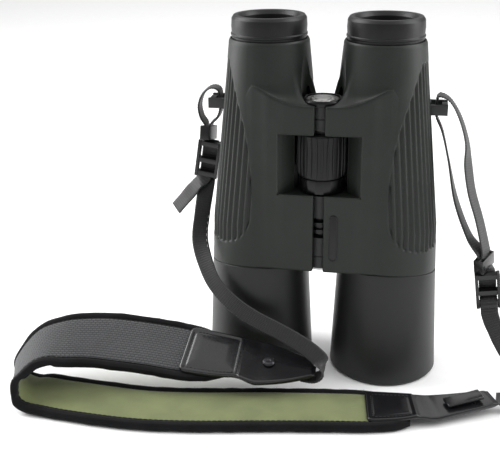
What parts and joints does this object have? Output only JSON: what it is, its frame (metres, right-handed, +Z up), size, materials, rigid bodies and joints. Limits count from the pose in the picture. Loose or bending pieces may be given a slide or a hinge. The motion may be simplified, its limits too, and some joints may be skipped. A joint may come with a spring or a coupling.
{
  "type": "binoculars",
  "caption": "Roof-prism binoculars in rubber armour with a centre focus wheel, folding bridge hinge, slide-up eyecups and a padded neck strap.",
  "frame": {"origin": "standing surface, midway between the two objective axes", "axes": "+Z up along the optical axes towards the eyecups, +X towards the half on the right when the focus wheel faces the viewer, -Y towards the focus wheel's side"},
  "size_m": [0.3296, 0.136, 0.217],
  "materials": {
    "armour": "satin, dark green",
    "sleeve": "satin, grey green",
    "housing": "matte",
    "black_metal": "satin",
    "glass": "coated",
    "grey_metal": "satin",
    "steel": "brushed",
    "silver": "satin",
    "black_rubber": "matte",
    "wheel_core": "matte, rubber covered",
    "webbing": "woven",
    "buckle": "moulded",
    "leather": "smooth",
    "pad": "woven face, fuzzy edges, olive lining"
  },
  "bodies": {
    "left_half": {"housing_l": "housing", "armour_l": "armour", "sleeve_l": "sleeve", "objective_ring_l": "black_metal", "objective_lens_l": "glass", "prism_cage_l": "black_metal", "prism_l": "glass", "eyepiece_tube_l": "black_metal", "eye_lens_l": "glass", "lug_l": "black_metal", "hinge_axle": "steel", "tripod_bush": "steel", "cap_ring": "black_metal", "hinge_cap": "silver", "loop_l": "webbing", "slider_l": "buckle", "lock_l": "buckle", "tail_l": "webbing", "webbing_l": "webbing", "tab_l": "leather", "rivet_l": "black_metal", "neck_pad": "pad", "tab_r": "leather", "tab_keeper": "leather", "webbing_floor": "webbing"},
    "right_half": {"housing_r": "housing", "armour_r": "armour", "sleeve_r": "sleeve", "objective_ring_r": "black_metal", "objective_lens_r": "glass", "prism_cage_r": "black_metal", "prism_r": "glass", "eyepiece_tube_r": "black_metal", "eye_lens_r": "glass", "lug_r": "black_metal", "name_plate": "black_metal", "webbing_r": "webbing", "loop_r": "webbing", "slider_r": "buckle", "lock_r": "buckle"},
    "eyecup_left": {"eyecup_l": "black_rubber"},
    "eyecup_right": {"eyecup_r": "black_rubber"},
    "focus_drive": {"focus_wheel": "wheel_core", "focus_tube": "grey_metal"},
    "focus_shuttle": {"focus_nut": "grey_metal"},
    "carriage_left": {"focus_cell_l": "grey_metal", "focus_lens_l": "glass"},
    "carriage_right": {"focus_cell_r": "grey_metal", "focus_lens_r": "glass"},
    "dioptre": {"dioptre_ring": "black_rubber"}
  },
  "joints": [
    {"name": "bridge_hinge", "type": "hinge", "parent": "left_half", "child": "right_half", "pos_m": [0, -0.015, 0.12], "axis": [0, 0, 1], "range_deg": [-18, 30]},
    {"name": "eyecup_slide_left", "type": "slide", "parent": "left_half", "child": "eyecup_left", "axis": [0, 0, 1], "range_m": [0, 0.008]},
    {"name": "eyecup_slide_right", "type": "slide", "parent": "right_half", "child": "eyecup_right", "axis": [0, 0, 1], "range_m": [0, 0.008]},
    {"name": "focus_turn", "type": "hinge", "parent": "left_half", "child": "focus_drive", "pos_m": [0, -0.015, 0.14], "axis": [0, 0, 1], "range_deg": [-150, 150]},
    {"name": "focus_shuttle_slide", "type": "slide", "parent": "left_half", "child": "focus_shuttle", "axis": [0, 0, 1], "range_m": [-0.002, 0.002]},
    {"name": "carriage_slide_left", "type": "slide", "parent": "left_half", "child": "carriage_left", "axis": [0, 0, 1], "range_m": [-0.002, 0.002]},
    {"name": "carriage_slide_right", "type": "slide", "parent": "right_half", "child": "carriage_right", "axis": [0, 0, 1], "range_m": [-0.002, 0.002]},
    {"name": "dioptre_turn", "type": "hinge", "parent": "left_half", "child": "dioptre", "pos_m": [0, -0.015, 0.1235], "axis": [0, 0, 1], "range_deg": [-30, 30]}
  ],
  "couplings": [
    {"joint": "focus_shuttle_slide", "follows": "focus_turn", "m_per_rad": 0.00076394},
    {"joint": "carriage_slide_left", "follows": "focus_turn", "m_per_rad": 0.00076394},
    {"joint": "carriage_slide_right", "follows": "focus_turn", "m_per_rad": 0.00076394}
  ]
}
